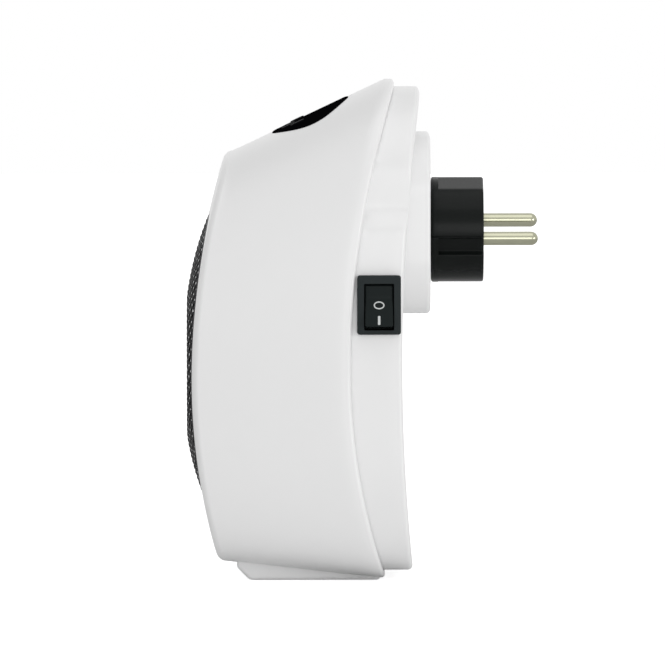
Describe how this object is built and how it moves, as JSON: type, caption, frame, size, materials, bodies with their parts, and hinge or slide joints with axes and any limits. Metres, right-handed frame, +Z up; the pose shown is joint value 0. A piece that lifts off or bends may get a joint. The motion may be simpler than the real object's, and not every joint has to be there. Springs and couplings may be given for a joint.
{
  "type": "plug-in fan heater",
  "caption": "Plug-in fan heater: a white hood with a steel mesh outlet, a sloping control panel and a side rocker switch, hung on a turning round mains plug.",
  "frame": {"origin": "centre of the plug's flat face, which lies on the wall socket", "axes": "+Z up; +Y out of the plug's face along the pins, into the wall; warm air leaves towards -Y; +X to the right as seen from the front, the rocker switch's side"},
  "size_m": [0.1182, 0.1228, 0.1728],
  "materials": {
    "white_abs": "satin white moulding",
    "black_abs": "satin black moulding",
    "gloss_black": "polished black moulding",
    "grille_steel": "dark expanded steel mesh",
    "nickel": "nickel-plated brass",
    "zinc_steel": "zinc-plated steel",
    "brass": "bare brass strip",
    "heater_aluminium": "bare aluminium",
    "heatproof_resin": "dark heat-resistant moulding",
    "fan_resin": "dark grey moulding",
    "board_green": "solder-mask green board",
    "relay_blue": "blue moulded case",
    "film_yellow": "yellow moulded case",
    "display_grey": "grey potted display"
  },
  "bodies": {
    "plug": {"plug_body": "black_abs", "plug_pin_near": "nickel", "plug_pin_far": "nickel", "plug_retaining_nut": "black_abs", "slip_ring_inner": "brass", "slip_ring_outer": "brass"},
    "housing": {"case_screw_1": "zinc_steel", "case_screw_2": "zinc_steel", "case_screw_3": "zinc_steel", "case_screw_4": "zinc_steel", "contact_block": "heatproof_resin", "contact_leaf_inner": "brass", "contact_leaf_outer": "brass", "contact_screw_1": "zinc_steel", "contact_screw_2": "zinc_steel", "control_board": "board_green", "control_board_screw_1": "zinc_steel", "control_board_screw_2": "zinc_steel", "control_panel": "gloss_black", "display_module": "display_grey", "duct_screw_1": "zinc_steel", "duct_screw_2": "zinc_steel", "duct_screw_3": "zinc_steel", "duct_screw_4": "zinc_steel", "element_frame": "heatproof_resin", "fan_duct": "heatproof_resin", "fan_motor": "zinc_steel", "film_capacitor": "film_yellow", "fins_lower_bottom": "heater_aluminium", "fins_lower_top": "heater_aluminium", "fins_upper_bottom": "heater_aluminium", "fins_upper_top": "heater_aluminium", "front_grille": "grille_steel", "front_shell": "white_abs", "heater_bar_lower": "heater_aluminium", "heater_bar_upper": "heater_aluminium", "key_switch_cooler": "heatproof_resin", "key_switch_power": "heatproof_resin", "key_switch_timer": "heatproof_resin", "key_switch_warmer": "heatproof_resin", "power_board": "board_green", "power_board_screw_1": "zinc_steel", "power_board_screw_2": "zinc_steel", "rear_shell": "white_abs", "relay": "relay_blue", "switch_blade_lower": "brass", "switch_blade_upper": "brass", "switch_body": "black_abs", "temperature_sensor": "heatproof_resin", "thermal_cutout": "heatproof_resin", "thermal_fuse": "zinc_steel"},
    "fan": {"fan_impeller": "fan_resin", "motor_shaft": "zinc_steel"},
    "rocker": {"switch_rocker": "black_abs"},
    "button_timer": {"button_timer": "gloss_black"},
    "button_cooler": {"button_cooler": "gloss_black"},
    "button_warmer": {"button_warmer": "gloss_black"},
    "button_power": {"button_power": "gloss_black"}
  },
  "joints": [
    {"name": "housing_turn", "type": "hinge", "parent": "plug", "child": "housing", "pos_m": [0, 0, 0], "axis": [0, 1, 0], "range_deg": [-73, 107]},
    {"name": "fan_spin", "type": "hinge", "parent": "housing", "child": "fan", "pos_m": [0, -0.06, -0.048], "axis": [0, 1, 0], "continuous": true},
    {"name": "rocker_tilt", "type": "hinge", "parent": "housing", "child": "rocker", "pos_m": [0.0557, -0.0369, -0.0241], "axis": [0, 1, 0], "range_deg": [0, 20]},
    {"name": "timer_press", "type": "slide", "parent": "housing", "child": "button_timer", "axis": [0, 0.4221, -0.9066], "range_m": [0, 0.0006], "stiffness_N_per_m": 600, "springref_m": -0.0015},
    {"name": "cooler_press", "type": "slide", "parent": "housing", "child": "button_cooler", "axis": [0, 0.4221, -0.9066], "range_m": [0, 0.0006], "stiffness_N_per_m": 600, "springref_m": -0.0015},
    {"name": "warmer_press", "type": "slide", "parent": "housing", "child": "button_warmer", "axis": [0, 0.4221, -0.9066], "range_m": [0, 0.0006], "stiffness_N_per_m": 600, "springref_m": -0.0015},
    {"name": "power_press", "type": "slide", "parent": "housing", "child": "button_power", "axis": [0, 0.4221, -0.9066], "range_m": [0, 0.0006], "stiffness_N_per_m": 600, "springref_m": -0.0015}
  ]
}
